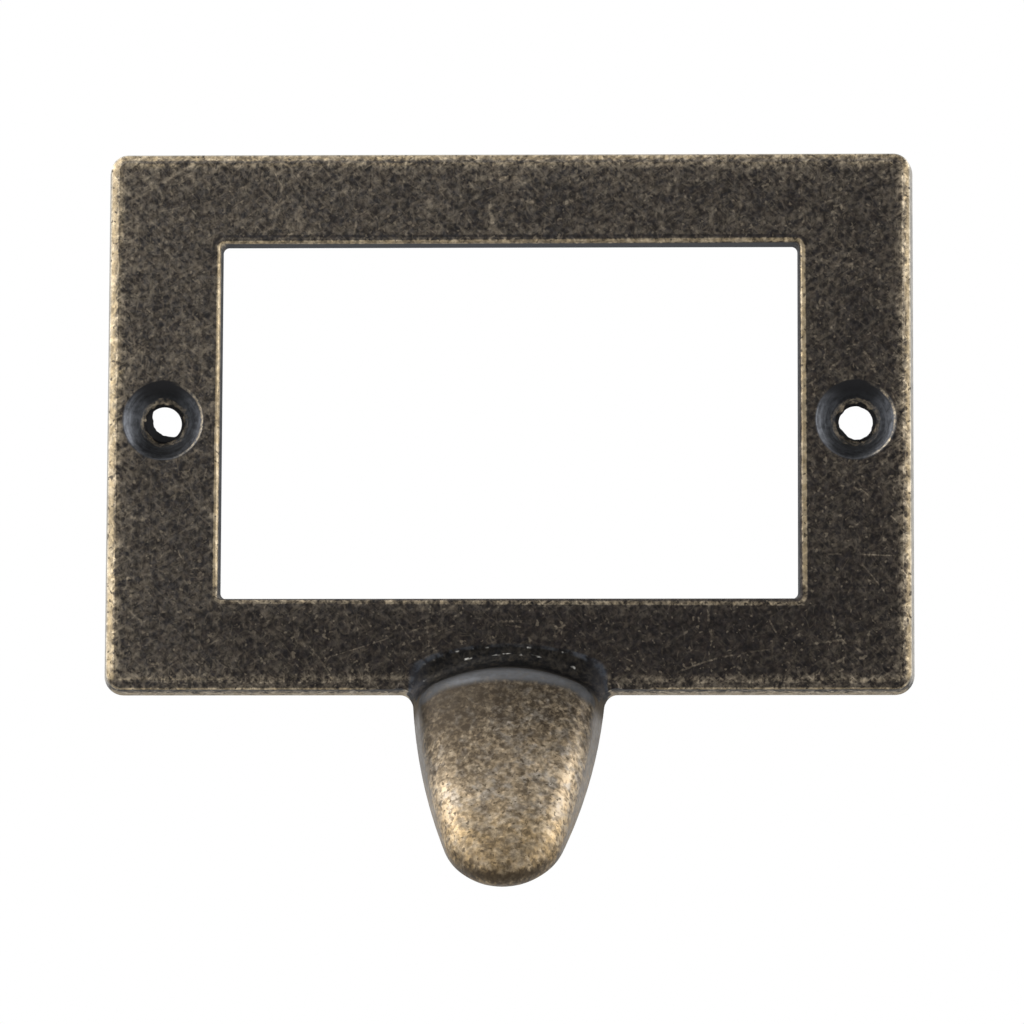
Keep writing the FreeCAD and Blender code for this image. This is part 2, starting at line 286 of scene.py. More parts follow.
def new_group(name, inputs, outputs):
    """An empty shader node group with float or vector sockets; gives its sheet, inputs and output node."""
    tree = bpy.data.node_groups.new(name, "ShaderNodeTree")
    for label, value in inputs.items():
        kind = "NodeSocketVector" if isinstance(value, tuple) else "NodeSocketFloat"
        socket = tree.interface.new_socket(name=label, in_out="INPUT", socket_type=kind)
        socket.default_value = value
    for label in outputs:
        tree.interface.new_socket(name=label, in_out="OUTPUT", socket_type="NodeSocketFloat")
    sheet = NodeSheet(tree)
    return sheet, sheet.add("NodeGroupInput").outputs, sheet.add("NodeGroupOutput").inputs


def emptied(owner):
    """A material or world that uses nodes and has none yet."""
    owner.use_nodes = True
    owner.node_tree.nodes.clear()
    return owner


def grey(value):
    return (value, value, value, 1)


# Node groups of the finish.

def outline_distance_group():
    """How far a point lies outside a rounded rectangle round the origin, seen from the front."""
    sheet, given, result = new_group(
        "outline_distance", {"Position": (0.0, 0.0, 0.0), "Half Size": (1.0, 0.0, 1.0), "Corner": 0.0},
        ["Distance"])
    corner = sheet.add("ShaderNodeCombineXYZ", {"X": given["Corner"], "Z": given["Corner"]}).outputs[0]
    core = sheet.vector("SUBTRACT", given["Half Size"], corner)
    beyond = sheet.vector("SUBTRACT", sheet.vector("ABSOLUTE", given["Position"]), core)
    beyond = sheet.vector("MULTIPLY", beyond, SEEN_FROM_FRONT)
    outside = sheet.vector("LENGTH", sheet.vector("MAXIMUM", beyond, (0.0, 0.0, 0.0)))
    part = sheet.split(beyond)
    inside = sheet.math("MINIMUM", sheet.most(part["X"], part["Z"]), 0.0)
    total = sheet.math("ADD", outside, inside)
    sheet.feed(result["Distance"], sheet.math("SUBTRACT", total, given["Corner"]))
    return sheet.tree


def worn_band_group():
    """A band round a line: 1 within Half Width of where the distance is Centre, then fading out."""
    sheet, given, result = new_group(
        "worn_band", {"Distance": 0.0, "Centre": 0.0, "Half Width": 0.1, "Fade": 0.1}, ["Mask"])
    away = sheet.math("ABSOLUTE", sheet.math("SUBTRACT", given["Distance"], given["Centre"]))
    past = sheet.math("SUBTRACT", away, given["Half Width"])
    share = sheet.math("DIVIDE", past, given["Fade"], clamp=True)
    sheet.feed(result["Mask"], sheet.ramp(share, 0.0, 1.0, 1.0, 0.0))
    return sheet.tree


def drawn_out(sheet, given):
    """The Position turned by Angle in the plane of the face, and the same drawn out by Stretch."""
    turned = sheet.add("ShaderNodeVectorRotate", {
        "Vector": given["Position"], "Angle": given["Angle"]}, rotation_type="Y_AXIS").outputs[0]
    squeeze = sheet.add("ShaderNodeCombineXYZ", {"X": given["Stretch"], "Y": 1.0, "Z": 1.0}).outputs[0]
    return turned, sheet.vector("MULTIPLY", turned, squeeze)


def streak_group():
    """Fine streaks that run near one direction on the face, 0 to 1, bright where one was rubbed."""
    sheet, given, result = new_group(
        "tumbled_streaks", {"Position": (0.0, 0.0, 0.0), "Angle": 0.0, "Pitch": 3.0, "Stretch": 0.2},
        ["Streaks"])
    rubbed = (0.40, 0.74)
    waves = sheet.noise(drawn_out(sheet, given)[1], given["Pitch"], detail=1.0, distortion=0.5)
    sheet.feed(result["Streaks"], sheet.ramp(waves, *rubbed))
    return sheet.tree


def scratch_group():
    """Thin scratches that wander over the face and fade in and out. Stretch below 1 draws them out."""
    sheet, given, result = new_group(
        "wandering_scratches", {
            "Position": (0.0, 0.0, 0.0), "Angle": 0.0, "Pitch": 0.2, "Stretch": 0.35, "Width": 0.01},
        ["Scratches"])
    line_side, fade_in, breaks_with_pitch, least_breaks = (1.0, 0.4), (0.50, 0.62), 1.2, 0.25
    turned, drawn = drawn_out(sheet, given)
    height = sheet.noise(drawn, given["Pitch"], detail=0.0)
    away = sheet.math("ABSOLUTE", sheet.math("SUBTRACT", height, 0.5))
    line = sheet.ramp(sheet.math("DIVIDE", away, given["Width"]), *line_side)
    breaks = sheet.added(least_breaks, given["Pitch"], breaks_with_pitch)
    fading = sheet.ramp(sheet.noise(turned, breaks, detail=1.0), *fade_in)
    sheet.feed(result["Scratches"], sheet.times(line, fading))
    return sheet.tree


def relief_group():
    """Share of bare brass at a point: about Relief, more where the grain stands high."""
    sheet, given, result = new_group(
        "relieved_patina", {"Relief": 0.5, "Grain": 0.5, "Contrast": 1.4}, ["Bare"])
    swing = sheet.times(sheet.math("SUBTRACT", given["Grain"], 0.5), given["Contrast"])
    height = sheet.most(sheet.added(1.0, swing, 0.5), 0.0)
    share = sheet.math("MULTIPLY", given["Relief"], sheet.times(height, height), clamp=True)
    sheet.feed(result["Bare"], share)
    return sheet.tree


# The finish itself.

# Sizes in millimetres. The tongue's arch is struck from ARCH_CENTRE below the origin, its crest falls by
# CREST_BOW times the square of the way out, and OUTER_SKIN lies inside the plate's sides and top.
ARCH_CENTRE = 36.4
ARCH_RADIUS = 15.0
TONGUE_HALF = 8.2
TONGUE_DRAFT = 0.12
SHOULDER_BLEND = 2.0
CREST_BOW = 0.0258
SEAT_FOOT = 1.90
OUTER_SKIN = (0.6, 0.4)
NOISE_SPAN = (0.3, 0.7)

# Colours that no setting gives. The last three hold factors for red, green and blue.
DULL_BRASS = (0.40, 0.330, 0.240, 1)
BROWNED_BRASS = (0.36, 0.31, 0.235, 1)
# Pale brass of the outer arris, with a painted glint.
ARRIS_GLINT_BRASS = (0.47, 0.42, 0.335, 1)
GREY_FILM = (0.258, 0.244, 0.226, 1)
COVE_FOOT = (0.040, 0.046, 0.058, 1)
NICK = (0.42, 0.41, 0.38, 1)
COOLER = (0.88, 1.0, 1.18, 1)
# Factors for the patina's painted-shade copy.
SHADED_PATINA = (0.60, 0.52, 0.54)
BROWNER = (1.00, 0.92, 0.74)


def shade(tone, factor):
    """The same tone, darker or lighter."""
    return shifted(tone, (factor, factor, factor))


def shifted(tone, factors):
    """The same tone with its red, green and blue changed by one factor each."""
    return tuple(part * factor for part, factor in zip(tone, factors)) + (1.0,)


class CastingSheet(NodeSheet):
    """The casting's shader nodes, which know where on it a point lies. Lengths are millimetres."""

    def __init__(self, tree, finish, hole_inset):
        super().__init__(tree)
        self.finish = finish
        self.outline_tree = outline_distance_group()
        self.band_tree = worn_band_group()
        self.streak_tree = streak_group()
        self.scratch_tree = scratch_group()
        self.relief_tree = relief_group()
        coordinates = self.add("ShaderNodeTexCoord").outputs
        self.place = self.scaled(coordinates["Object"], 1 / MM)
        spot, facing = self.split(self.place), self.split(coordinates["Normal"])
        self.x, self.z = spot["X"], spot["Z"]
        self.out = self.times(spot["Y"], -1.0)
        self.across = self.math("ABSOLUTE", self.x)
        self.front = self.times(facing["Y"], -1.0)
        self.upward = facing["Z"]
        self.mark_plate(hole_inset)
        self.mark_tongue()
        self.mark_walls()
        self.mark_wear_and_light()
        self.make_grain()

    def where(self, **spans):
        """Product of smooth changes along the named measures: start and end, then perhaps two results."""
        return self.times(*(self.ramp(getattr(self, name), *span) for name, span in spans.items()))

    def band(self, distance, centre, half, fade):
        return self.group(self.band_tree, {
            "Distance": distance, "Centre": centre, "Half Width": half, "Fade": fade})["Mask"]

    def streaks(self, angle, pitch, stretch):
        return self.group(self.streak_tree, {
            "Position": self.place, "Angle": math.radians(angle), "Pitch": pitch,
            "Stretch": stretch})["Streaks"]

    def scratches(self, angle, pitch, stretch, width):
        return self.group(self.scratch_tree, {
            "Position": self.place, "Angle": math.radians(angle), "Pitch": pitch, "Stretch": stretch,
            "Width": width})["Scratches"]

    def outside(self, width, height, corner):
        """How far a point lies outside a rounded rectangle, whose sizes are given in metres."""
        return self.group(self.outline_tree, {
            "Position": self.place, "Half Size": (width / 2 / MM, 0, height / 2 / MM),
            "Corner": corner / MM})["Distance"]

    def noise_at(self, offset, scale, **shape):
        """Noise taken at an offset, so that it differs from the others."""
        return self.noise(self.vector("ADD", self.place, offset), scale, **shape)

    def swung(self, base, noise, swing):
        """The base, moved up and down with a noise that lies round 0.5."""
        return self.added(base, self.math("SUBTRACT", noise, 0.5), swing)

    def mixed(self, *parts):
        """Sum of values, each with its weight."""
        total = 0.0
        for value, weight in parts:
            total = self.added(total, value, weight)
        return total

    def mark_plate(self, hole_inset):
        """Distances from the plate's edge inwards, from the window outwards and from the holes' axes."""
        finish = self.finish
        beyond = self.outside(finish.plate_width, finish.plate_height, finish.plate_corner)
        self.edge = self.times(beyond, -1.0)
        self.window = self.outside(finish.window_width, finish.window_height, finish.window_corner)
        hole_x = (finish.plate_width / 2 - hole_inset) / MM
        from_hole = self.vector("SUBTRACT", self.vector("ABSOLUTE", self.place), (hole_x, 0, 0))
        self.hole = self.vector("LENGTH", self.vector("MULTIPLY", from_hole, SEEN_FROM_FRONT))
        self.beside_hole = self.split(from_hole)["X"]
        self.sunk = self.where(hole=(3.62, 3.42), out=(0.01, 0.06))
        self.low = self.where(z=(-22.4, -23.0))
        self.high = self.where(z=(22.4, 23.0))

    def mark_tongue(self):
        """Masks of the tongue, its crest and the cove round its root."""
        self.tongue = self.most(self.where(out=(2.42, 2.8)), self.where(z=(-23.9, -24.3)))
        self.off_tongue = self.off(self.tongue)
        from_centre = self.vector("ADD", self.place, (0, 0, ARCH_CENTRE))
        arch = self.vector("LENGTH", self.vector("MULTIPLY", from_centre, SEEN_FROM_FRONT))
        arch = self.math("SUBTRACT", arch, ARCH_RADIUS)
        side = self.math("SUBTRACT", self.across, TONGUE_HALF)
        outline = self.math("SMOOTH_MAX", arch, side, SHOULDER_BLEND)
        outline = self.added(outline, self.out, TONGUE_DRAFT)
        width = self.times(self.where(z=(-23.9, -20.9, 0.95, 2.35)), self.where(z=(-20.6, -19.4, 1.0, 0.86)))
        # The cove's depth is 0 where it leaves the tongue and 1 at its foot on the plate.
        self.depth = self.math("DIVIDE", outline, width)
        self.above_web = self.where(z=(-24.8, -24.1), out=(0.3, 0.9))
        self.cove = self.times(
            self.where(depth=(-0.10, 0.02)), self.where(depth=(1.12, 0.92)), self.above_web)
        bow = self.added(self.z, self.times(self.across, self.across), CREST_BOW)
        self.bow = self.math("ADD", bow, self.where(across=(5.0, 7.6, 0.0, 0.7)))
        self.crest = self.times(self.tongue, self.where(bow=(-23.80, -23.15)))

    def mark_walls(self):
        """Masks of all that faces sideways, and of the plate's own outer walls."""
        self.wall = self.where(front=(0.40, 0.15))
        half_width = self.finish.plate_width / 2 / MM
        half_height = self.finish.plate_height / 2 / MM
        at_side = self.where(across=[half_width - depth for depth in OUTER_SKIN])
        at_top = self.where(z=[half_height - depth for depth in OUTER_SKIN])
        self.outer_wall = self.times(self.most(at_side, at_top), self.off_tongue)

    def mark_wear_and_light(self):
        """How far the patina is worn and the plate painted lighter: 1 on average, more at the upper left,
        which is painted light, and less beside the tongue.
        """
        with_height, with_x, kept = 0.0090, -0.0095, 0.38
        # Painted light: along this slope the plate grows lighter towards the upper left.
        slope = self.added(self.times(self.x, with_x), self.z, with_height)
        beside_tongue = self.where(z=(-15.6, -18.0), across=(30.0, 19.0))
        self.thin = self.math("SUBTRACT", self.math("ADD", slope, 1.0), self.times(beside_tongue, kept))

    def make_grain(self):
        """Grain of the tumbled surface, at several sizes, and the uneven edge that it gives the bevel."""
        self.fine = self.noise(self.place, 2.5, detail=2.0, roughness=0.55, distortion=0.35)
        self.coarse = self.noise_at((9, 4, 1), 1.15, detail=2.0, roughness=0.55, distortion=0.4)
        self.specks = self.where(fine=(0.30, 0.72))
        self.blobs = self.where(coarse=(0.32, 0.70))
        warp = self.add("ShaderNodeTexNoise", {"Vector": self.place, "Scale": 1.8, "Detail": 2.0})
        warp = self.scaled(warp.outputs["Color"], 0.9)
        sand = self.grains(self.vector("ADD", self.place, warp), 2.5)
        fibres = self.most(
            self.streaks(32, 3.2, 0.22), self.streaks(-44, 3.5, 0.20), self.streaks(84, 3.0, 0.24))
        self.cloud = self.ramp(self.noise(self.place, 0.22, detail=4.0, roughness=0.6), 0.32, 0.68)
        self.scratched = self.most(
            self.scratches(18, 0.17, 0.35, 0.0105), self.scratches(-63, 0.21, 0.35, 0.0105))
        self.hairs = self.most(
            self.scratches(35, 0.85, 0.5, 0.034), self.scratches(-50, 1.0, 0.45, 0.038),
            self.scratches(100, 0.9, 0.5, 0.034))
        self.pale = self.ramp(self.noise_at((31, 7, 11), 2.2, detail=1.0), 0.66, 0.74)
        self.pits = self.ramp(self.noise_at((3, 17, 5), 2.5, detail=1.0), 0.65, 0.71)
        on_plate = self.mixed((sand, 0.28), (fibres, 0.30), (self.blobs, 0.26), (self.specks, 0.18))
        on_tongue = self.mixed((sand, 0.40), (self.specks, 0.44), (self.blobs, 0.26))
        self.grain = self.blend(self.tongue, on_plate, on_tongue)
        self.uneven = self.swung(self.edge, self.coarse, 0.55)
        self.ragged = self.added(self.swung(self.uneven, self.fine, 0.38), self.x, 0.0022)


def plate_face_relief(sheet):
    """Bare share of the plate's face, more near its edge and along scratches."""
    edge_share, wide_share, scratch_share = 0.20, 0.035, 0.11
    # More brass shows towards the upper left, along the plate's painted-light slope.
    relief = sheet.times(sheet.added(0.65, sheet.cloud, 0.7), sheet.thin, sheet.finish.plate_relief)
    relief = sheet.added(relief, sheet.where(edge=(1.7, 0.9)), edge_share)
    relief = sheet.added(relief, sheet.where(edge=(4.2, 1.2)), sheet.times(sheet.thin, wide_share))
    return sheet.added(relief, sheet.scratched, scratch_share)


def rim_relief(sheet, relief):
    """The same with the bevel, its two arrises and the dark groove beside the inner one. The bevel and
    arrises carry less brass at the top and far less at the bottom, which is painted shade.
    """
    edges = sheet.finish.edge_relief
    upper, lower, beside_tongue, over_window = 0.76, 0.12, 0.06, 0.01
    either = sheet.most(sheet.low, sheet.high)
    # Painted shade: the bevel's brass falls at the top, more at the bottom, and a little towards the right.
    bevel = sheet.blend(sheet.low, sheet.blend(sheet.high, edges, edges * upper), lower)
    bevel = sheet.times(bevel, sheet.where(ragged=(0.42, 0.98, 1.0, 0.42), x=(-34.0, 34.0, 0.99, 0.88)))
    relief = sheet.blend(sheet.where(ragged=(1.08, 0.90)), relief, bevel)
    # Painted shade: both arrises carry less brass along the bottom.
    outer_arris = sheet.times(sheet.band(sheet.edge, centre=0.24, half=0.08, fade=0.12),
                              sheet.blend(sheet.low, edges, edges * 0.70))
    inner_arris = sheet.times(
        sheet.band(sheet.ragged, centre=sheet.blend(sheet.low, 1.18, 0.92), half=0.05, fade=0.18),
        sheet.blend(sheet.low, edges * 0.46, edges * 0.34), either)
    relief = sheet.most(relief, outer_arris, inner_arris, window_relief(sheet))
    by_tongue = sheet.times(sheet.low, sheet.where(across=(14.0, 10.5)), sheet.off_tongue)
    relief = sheet.blend(by_tongue, relief, beside_tongue)
    groove_centre = sheet.blend(sheet.low, 0.93, 0.66)
    groove = sheet.times(sheet.band(sheet.uneven, groove_centre, half=0.05, fade=0.14), either)
    relief = sheet.blend(groove, relief, sheet.blend(sheet.low, 0.12, 0.09))
    above_window = sheet.times(sheet.band(sheet.window, centre=0.58, half=0.05, fade=0.14),
                               sheet.where(z=(15.0, 15.6)))
    return sheet.blend(above_window, relief, over_window)


def window_relief(sheet):
    """Bare line along the window's arris, nearer its front edge at the right and below."""
    edges = sheet.finish.edge_relief
    with_height, with_x, beside_window = -0.0045, 0.0040, (15.7, 15.3)
    slope = sheet.added(sheet.times(sheet.x, with_x), sheet.z, with_height)
    arris = sheet.math("SUBTRACT", sheet.window, slope)
    beside = sheet.ramp(sheet.math("ABSOLUTE", sheet.z), *beside_window)
    above, below = sheet.blend(beside, 0.18, 0.25), sheet.blend(beside, 0.28, 0.25)
    centre = sheet.blend(sheet.where(z=(0.0, -2.0)), above, below)
    line = sheet.band(arris, centre, half=sheet.blend(beside, 0.10, 0.135), fade=0.15)
    return sheet.times(line, sheet.where(z=(-15.0, -14.0, edges * 0.44, edges * 0.98)),
                       sheet.where(z=(15.2, 15.8, 1.0, 0.78)))


def tongue_face_relief(sheet):
    """Bare share of the tongue: little under the crest, most low down and at the sides, where it is rubbed
    and where more brass is painted in to widen the highlights, partly a painted highlight.
    """
    highest = sheet.finish.tongue_relief
    less_upper_left, more_at_sides, below_walls = -0.58, 1.06, 0.24
    face = sheet.where(z=(-24.2, -32.5, highest * 0.20, highest * 0.96))
    upper_left = sheet.where(x=(3.0, -4.5), z=(-34.2, -31.8))
    face = sheet.times(face, sheet.added(1.0, upper_left, less_upper_left))
    face = sheet.times(face, sheet.where(z=(-40.6, -36.0, 0.72, 1.0)))
    # Partly painted highlight: more brass at the lower sides widens the highlights there, beside the wear of
    # rubbing.
    sides = sheet.where(across=(2.2, 5.6), z=(-28.0, -33.5))
    face = sheet.times(face, sheet.added(1.0, sides, more_at_sides))
    under_tip = sheet.where(upward=(0.10, -0.45, 1.0, 0.12))
    tip_line = sheet.blend(sheet.where(across=(5.4, 2.0)), 1.0, under_tip)
    face = sheet.times(face, sheet.where(front=(0.14, 0.36, 0.40, 1.0)), tip_line)
    below_tip = sheet.where(across=(1.5, 4.5, 0.04, 0.16))
    underside = sheet.blend(sheet.where(out=(17.0, 16.0)), below_tip, below_walls)
    return sheet.blend(sheet.where(upward=(-0.45, -0.85)), face, underside)


def hole_relief(sheet):
    """Bare ring at the foot of each countersink, and bare rim at its right."""
    foot_share, rim_share, right_half = 0.26, 0.30, (0.6, 3.0)
    ragged = sheet.swung(sheet.hole, sheet.coarse, 0.7)
    foot = sheet.band(ragged, SEAT_FOOT, half=0.12, fade=0.12)
    to_right = sheet.times(sheet.beside_hole, sheet.math("SIGN", sheet.x))
    rim = sheet.times(sheet.band(sheet.hole, centre=3.40, half=0.07, fade=0.10),
                      sheet.ramp(to_right, *right_half), rim_share)
    return sheet.most(sheet.times(foot, foot_share), rim)


def casting_relief(sheet):
    """Bare share all over the casting, before the grain breaks it up."""
    outer_share, back_share, lower_share, sheltered = 0.9, 0.55, 0.60, 0.02
    relief = rim_relief(sheet, plate_face_relief(sheet))
    relief = sheet.blend(sheet.tongue, relief, tongue_face_relief(sheet))
    reached = sheet.most(
        sheet.where(front=(0.12, 0.28, 0.04, 1.0)), sheet.times(sheet.outer_wall, outer_share),
        sheet.tongue, sheet.times(sheet.where(front=(-0.80, -0.95)), back_share))
    # Painted light: brass on the downward-facing lower outer wall makes it lighter, for the white it
    # reflects.
    lit_lower_arris = sheet.times(
        sheet.where(upward=(-0.5, -0.8), edge=(0.26, 0.04), z=(-23.0, -23.4)), sheet.off_tongue)
    relief = sheet.blend(lit_lower_arris, sheet.times(relief, reached), lower_share)
    relief = sheet.blend(sheet.most(sheet.crest, sheet.cove), relief, sheltered)
    return sheet.blend(sheet.sunk, relief, hole_relief(sheet))


def bare_brass(sheet, relief):
    """The relief, broken up by grain, pale specks, hairlines and pits."""
    tongue_contrast, edge_contrast = 5.0, 1.6
    pale_share, hair_share, pit_share = 0.20, 0.08, 0.26
    contrast = sheet.blend(sheet.tongue, tongue_contrast, sheet.ramp(relief, 0.10, 0.32, 4.7, 2.5))
    worn = sheet.times(sheet.ramp(relief, 0.3, 0.6), sheet.off_tongue)
    contrast = sheet.blend(worn, contrast, edge_contrast)
    bare = sheet.group(sheet.relief_tree, {
        "Relief": relief, "Grain": sheet.grain, "Contrast": contrast})["Bare"]
    closed = sheet.most(sheet.cove, sheet.sunk, sheet.where(front=(0.9, 0.6)))
    open_face = sheet.times(sheet.off_tongue, sheet.off(closed))
    bare = sheet.added(bare, sheet.times(sheet.pale, open_face), pale_share)
    # More hairlines show where the plate is painted lighter.
    hairs = sheet.times(sheet.hairs, open_face, sheet.added(0.4, sheet.thin, 0.5))
    bare = sheet.added(bare, hairs, hair_share)
    return sheet.times(bare, sheet.blend(sheet.pits, 1.0, pit_share))


def face_patina(sheet):
    """Brown-black of the plate's face, mottled and painted lighter towards the upper left and darker towards
    the lower right and beside the tongue, and the warmer brown of the tongue.
    """
    brown, warm = tuple(sheet.finish.plate_patina), tuple(sheet.finish.tongue_patina)
    # Painted light and shade: a darker and a lighter copy of the brown, blended along the plate's
    # painted-light slope.
    patina = sheet.tint(sheet.where(thin=(0.4, 1.6)), shifted(brown, SHADED_PATINA), shade(brown, 1.60))
    mottled = sheet.tint(1.0, patina, sheet.tint(sheet.specks, grey(0.40), grey(1.20)), how="MULTIPLY")
    patina = sheet.tint(sheet.off_tongue, patina, mottled)
    hue = sheet.ramp(sheet.noise_at((5, 0, 9), 2.4, detail=2.0), 0.38, 0.62)
    cooled = sheet.tint(1.0, patina, COOLER, how="MULTIPLY")
    patina = sheet.tint(sheet.times(hue, sheet.off_tongue), patina, cooled)
    tongue_tone = sheet.tint(sheet.where(z=(-31.0, -25.0)), warm, shade(warm, 0.62))
    return sheet.tint(sheet.times(sheet.tongue, 0.85), patina, tongue_tone)


def countersink_patina(sheet):
    """Blue-black with faint turned rings; black at the top and in the bore, which is painted shade, and
    lighter at the two sides, a painted sheen.
    """
    recess, deep = sheet.finish.recess_patina, sheet.finish.deep_patina_and_shade
    with_radius, with_place = 4.2, 0.35
    rings = sheet.add("ShaderNodeCombineXYZ", {
        "X": sheet.times(sheet.hole, with_radius), "Y": sheet.times(sheet.x, with_place),
        "Z": sheet.times(sheet.z, with_place)}).outputs[0]
    rings = sheet.blend(0.45, sheet.noise(rings, 1.0, detail=2.0, roughness=0.6), sheet.fine)
    tone = sheet.tint(sheet.ramp(rings, 0.34, 0.66), shade(recess, 0.60), shade(recess, 1.75))
    # Painted shade: black at the top of the countersink and in the bore.
    tone = sheet.tint(sheet.where(z=(1.2, 3.0)), tone, shade(deep, 1.3))
    tone = sheet.tint(sheet.where(hole=(1.95, 1.72)), tone, shade(deep, 0.7))
    # Painted sheen: lighter at the two sides of each countersink.
    sideways = sheet.math("DIVIDE", sheet.math("ABSOLUTE", sheet.beside_hole), sheet.hole)
    painted_side_sheen = sheet.tint(sheet.ramp(sideways, 0.35, 0.95), grey(0.85), grey(1.75))
    return sheet.tint(1.0, tone, painted_side_sheen, how="MULTIPLY")


def crest_patina_and_sheen(sheet):
    """Blue-grey patina over the tongue's crest with a painted sheen for the light it reflects: lighter than
    the plate's patina, brightest at its top as a painted highlight, mottled and darker towards its ends.
    """
    tone = sheet.finish.crest_patina_and_sheen
    mottle = sheet.math("ADD", sheet.where(coarse=(*NOISE_SPAN, 0.0, 0.30)),
                        sheet.where(across=(3.5, 7.5, 0.0, 0.65)))
    # Painted highlight: lighter towards the top of the crest.
    painted_sheen = sheet.tint(sheet.where(bow=(-23.9, -22.8)), shade(tone, 0.55), shade(tone, 1.28))
    painted_sheen = sheet.tint(sheet.times(sheet.specks, 0.42), painted_sheen, shade(tone, 0.50))
    return sheet.tint(mottle, painted_sheen, shade(tone, 0.30))


def wall_patina(sheet):
    """Blue-black of the walls and the back, lighter inside the window's top edge; brown on the tongue."""
    recess = sheet.finish.recess_patina
    window_top = sheet.where(z=(14.0, 15.0), window=(1.0, 0.5), front=(-0.8, -0.5))
    tone = sheet.tint(sheet.blobs, shade(recess, 0.72), shade(recess, 1.30))
    tone = sheet.tint(window_top, tone, shade(recess, 1.8))
    return sheet.tint(sheet.tongue, tone, tuple(sheet.finish.tongue_patina))


def with_cove(sheet, patina):
    """The patina with the black cove, its blue-grey foot and the bright nicks in it. The cove's black is
    patina kept in the hollow, darkened further as painted shade.
    """
    deep = sheet.finish.deep_patina_and_shade
    # Black of the cove: patina left in the hollow and painted shade.
    black = sheet.tint(sheet.times(sheet.specks, 0.5), shade(deep, 0.30), shade(deep, 1.3))
    black = sheet.tint(sheet.where(across=(6.2, 8.6)), black, shade(deep, 2.7))
    patina = sheet.tint(sheet.cove, patina, black)
    foot = sheet.times(sheet.band(sheet.depth, centre=0.95, half=0.03, fade=0.12), sheet.above_web,
                       sheet.where(coarse=(0.36, 0.64), across=(2.0, 6.5, 0.35, 0.80)))
    patina = sheet.tint(foot, patina, COVE_FOOT)
    nick_rows = sheet.most(sheet.band(sheet.depth, centre=0.86, half=0.020, fade=0.045),
                           sheet.band(sheet.depth, centre=0.50, half=0.015, fade=0.035))
    few = sheet.ramp(sheet.noise_at((4, 0, 2), 0.95, detail=1.0), 0.58, 0.66)
    nicks = sheet.times(nick_rows, sheet.above_web, sheet.where(z=(-23.4, -22.6)), few, sheet.specks)
    return sheet.tint(nicks, patina, NICK)


def brass_tone(sheet, relief):
    """Bare brass: browner at the tip, duller on the plate, and pale along the outer arris, worn brass with a
    painted glint.
    """
    bright = tuple(sheet.finish.brass_colour)
    on_tongue = sheet.tint(sheet.where(z=(-33.0, -39.0)), bright, shifted(bright, BROWNER))
    on_plate = sheet.tint(sheet.ramp(relief, 0.15, 0.40), DULL_BRASS, tuple(sheet.finish.plate_brass))
    brass = sheet.tint(sheet.tongue, on_plate, on_tongue)
    # Painted glint: the outer arris turns paler, as if it caught the light.
    outer_arris = sheet.times(sheet.band(sheet.edge, centre=0.16, half=0.12, fade=0.14),
                              sheet.where(z=(-23.3, -22.8)))
    brass = sheet.tint(outer_arris, brass, ARRIS_GLINT_BRASS)
    brass = sheet.tint(sheet.times(sheet.where(coarse=(0.42, 0.62)), 0.5), brass, BROWNED_BRASS)
    film = sheet.ramp(sheet.noise_at((13, 2, 21), 1.1, detail=2.0), 0.44, 0.66)
    film = sheet.times(film, sheet.tongue, sheet.where(z=(-39.0, -33.0, 0.28, 0.62)))
    return sheet.tint(film, brass, GREY_FILM)


def surface_roughness(sheet, bare):
    """Bare brass is smoother than patina; the inner walls and the hollow behind the tongue are dull."""
    seat, hollow, inner_wall = 0.30, 0.80, 0.75
    dull = sheet.where(fine=(*NOISE_SPAN, 0.36, 0.50))
    dull = sheet.blend(sheet.crest, dull, sheet.where(across=(4.0, 7.0, 0.38, 0.60)))
    dull = sheet.blend(sheet.sunk, dull, seat)
    behind_tongue = sheet.times(sheet.tongue, sheet.wall, sheet.where(z=(-27.0, -24.8)))
    dull = sheet.blend(behind_tongue, dull, hollow)
    inner = sheet.times(sheet.wall, sheet.off_tongue, sheet.off(sheet.outer_wall))
    dull = sheet.blend(inner, dull, inner_wall)
    rubbed = sheet.blend(sheet.tongue, sheet.where(fine=(*NOISE_SPAN, 0.24, 0.36)),
                         sheet.where(fine=(*NOISE_SPAN, 0.41, 0.50)))
    return sheet.blend(bare, dull, rubbed)


def antique_brass(finish, hole_inset):
    """The one material of the casting."""
    patina_metallic, cove_metallic, bump_strength, bump_height = 0.80, 0.6, 0.30, 0.02 * MM
    material = emptied(bpy.data.materials.new("antique_brass_relieved"))
    sheet = CastingSheet(material.node_tree, finish, hole_inset)
    relief = casting_relief(sheet)
    bare = bare_brass(sheet, relief)
    patina = sheet.tint(sheet.crest, face_patina(sheet), crest_patina_and_sheen(sheet))
    patina = sheet.tint(sheet.wall, patina, wall_patina(sheet))
    patina = sheet.tint(sheet.sunk, patina, countersink_patina(sheet))
    patina = with_cove(sheet, patina)
    metal = sheet.most(bare, sheet.times(sheet.cove, cove_metallic))
    bump = sheet.add("ShaderNodeBump", {
        "Strength": bump_strength, "Distance": bump_height, "Height": sheet.grain}).outputs[0]
    shader = sheet.add("ShaderNodeBsdfPrincipled", {
        "Base Color": sheet.tint(bare, patina, brass_tone(sheet, relief)),
        "Roughness": surface_roughness(sheet, bare),
        "Metallic": sheet.blend(metal, patina_metallic, 1.0), "Normal": bump})
    sheet.add("ShaderNodeOutputMaterial", {"Surface": shader.outputs[0]})
    return material


# Operators, one for each step.

def choose(active, *others):
    """Selects these objects alone and makes the first of them active."""
    bpy.ops.object.select_all(action="DESELECT")
    for chosen in (active, *others):
        chosen.select_set(True)
    bpy.context.view_layer.objects.active = active


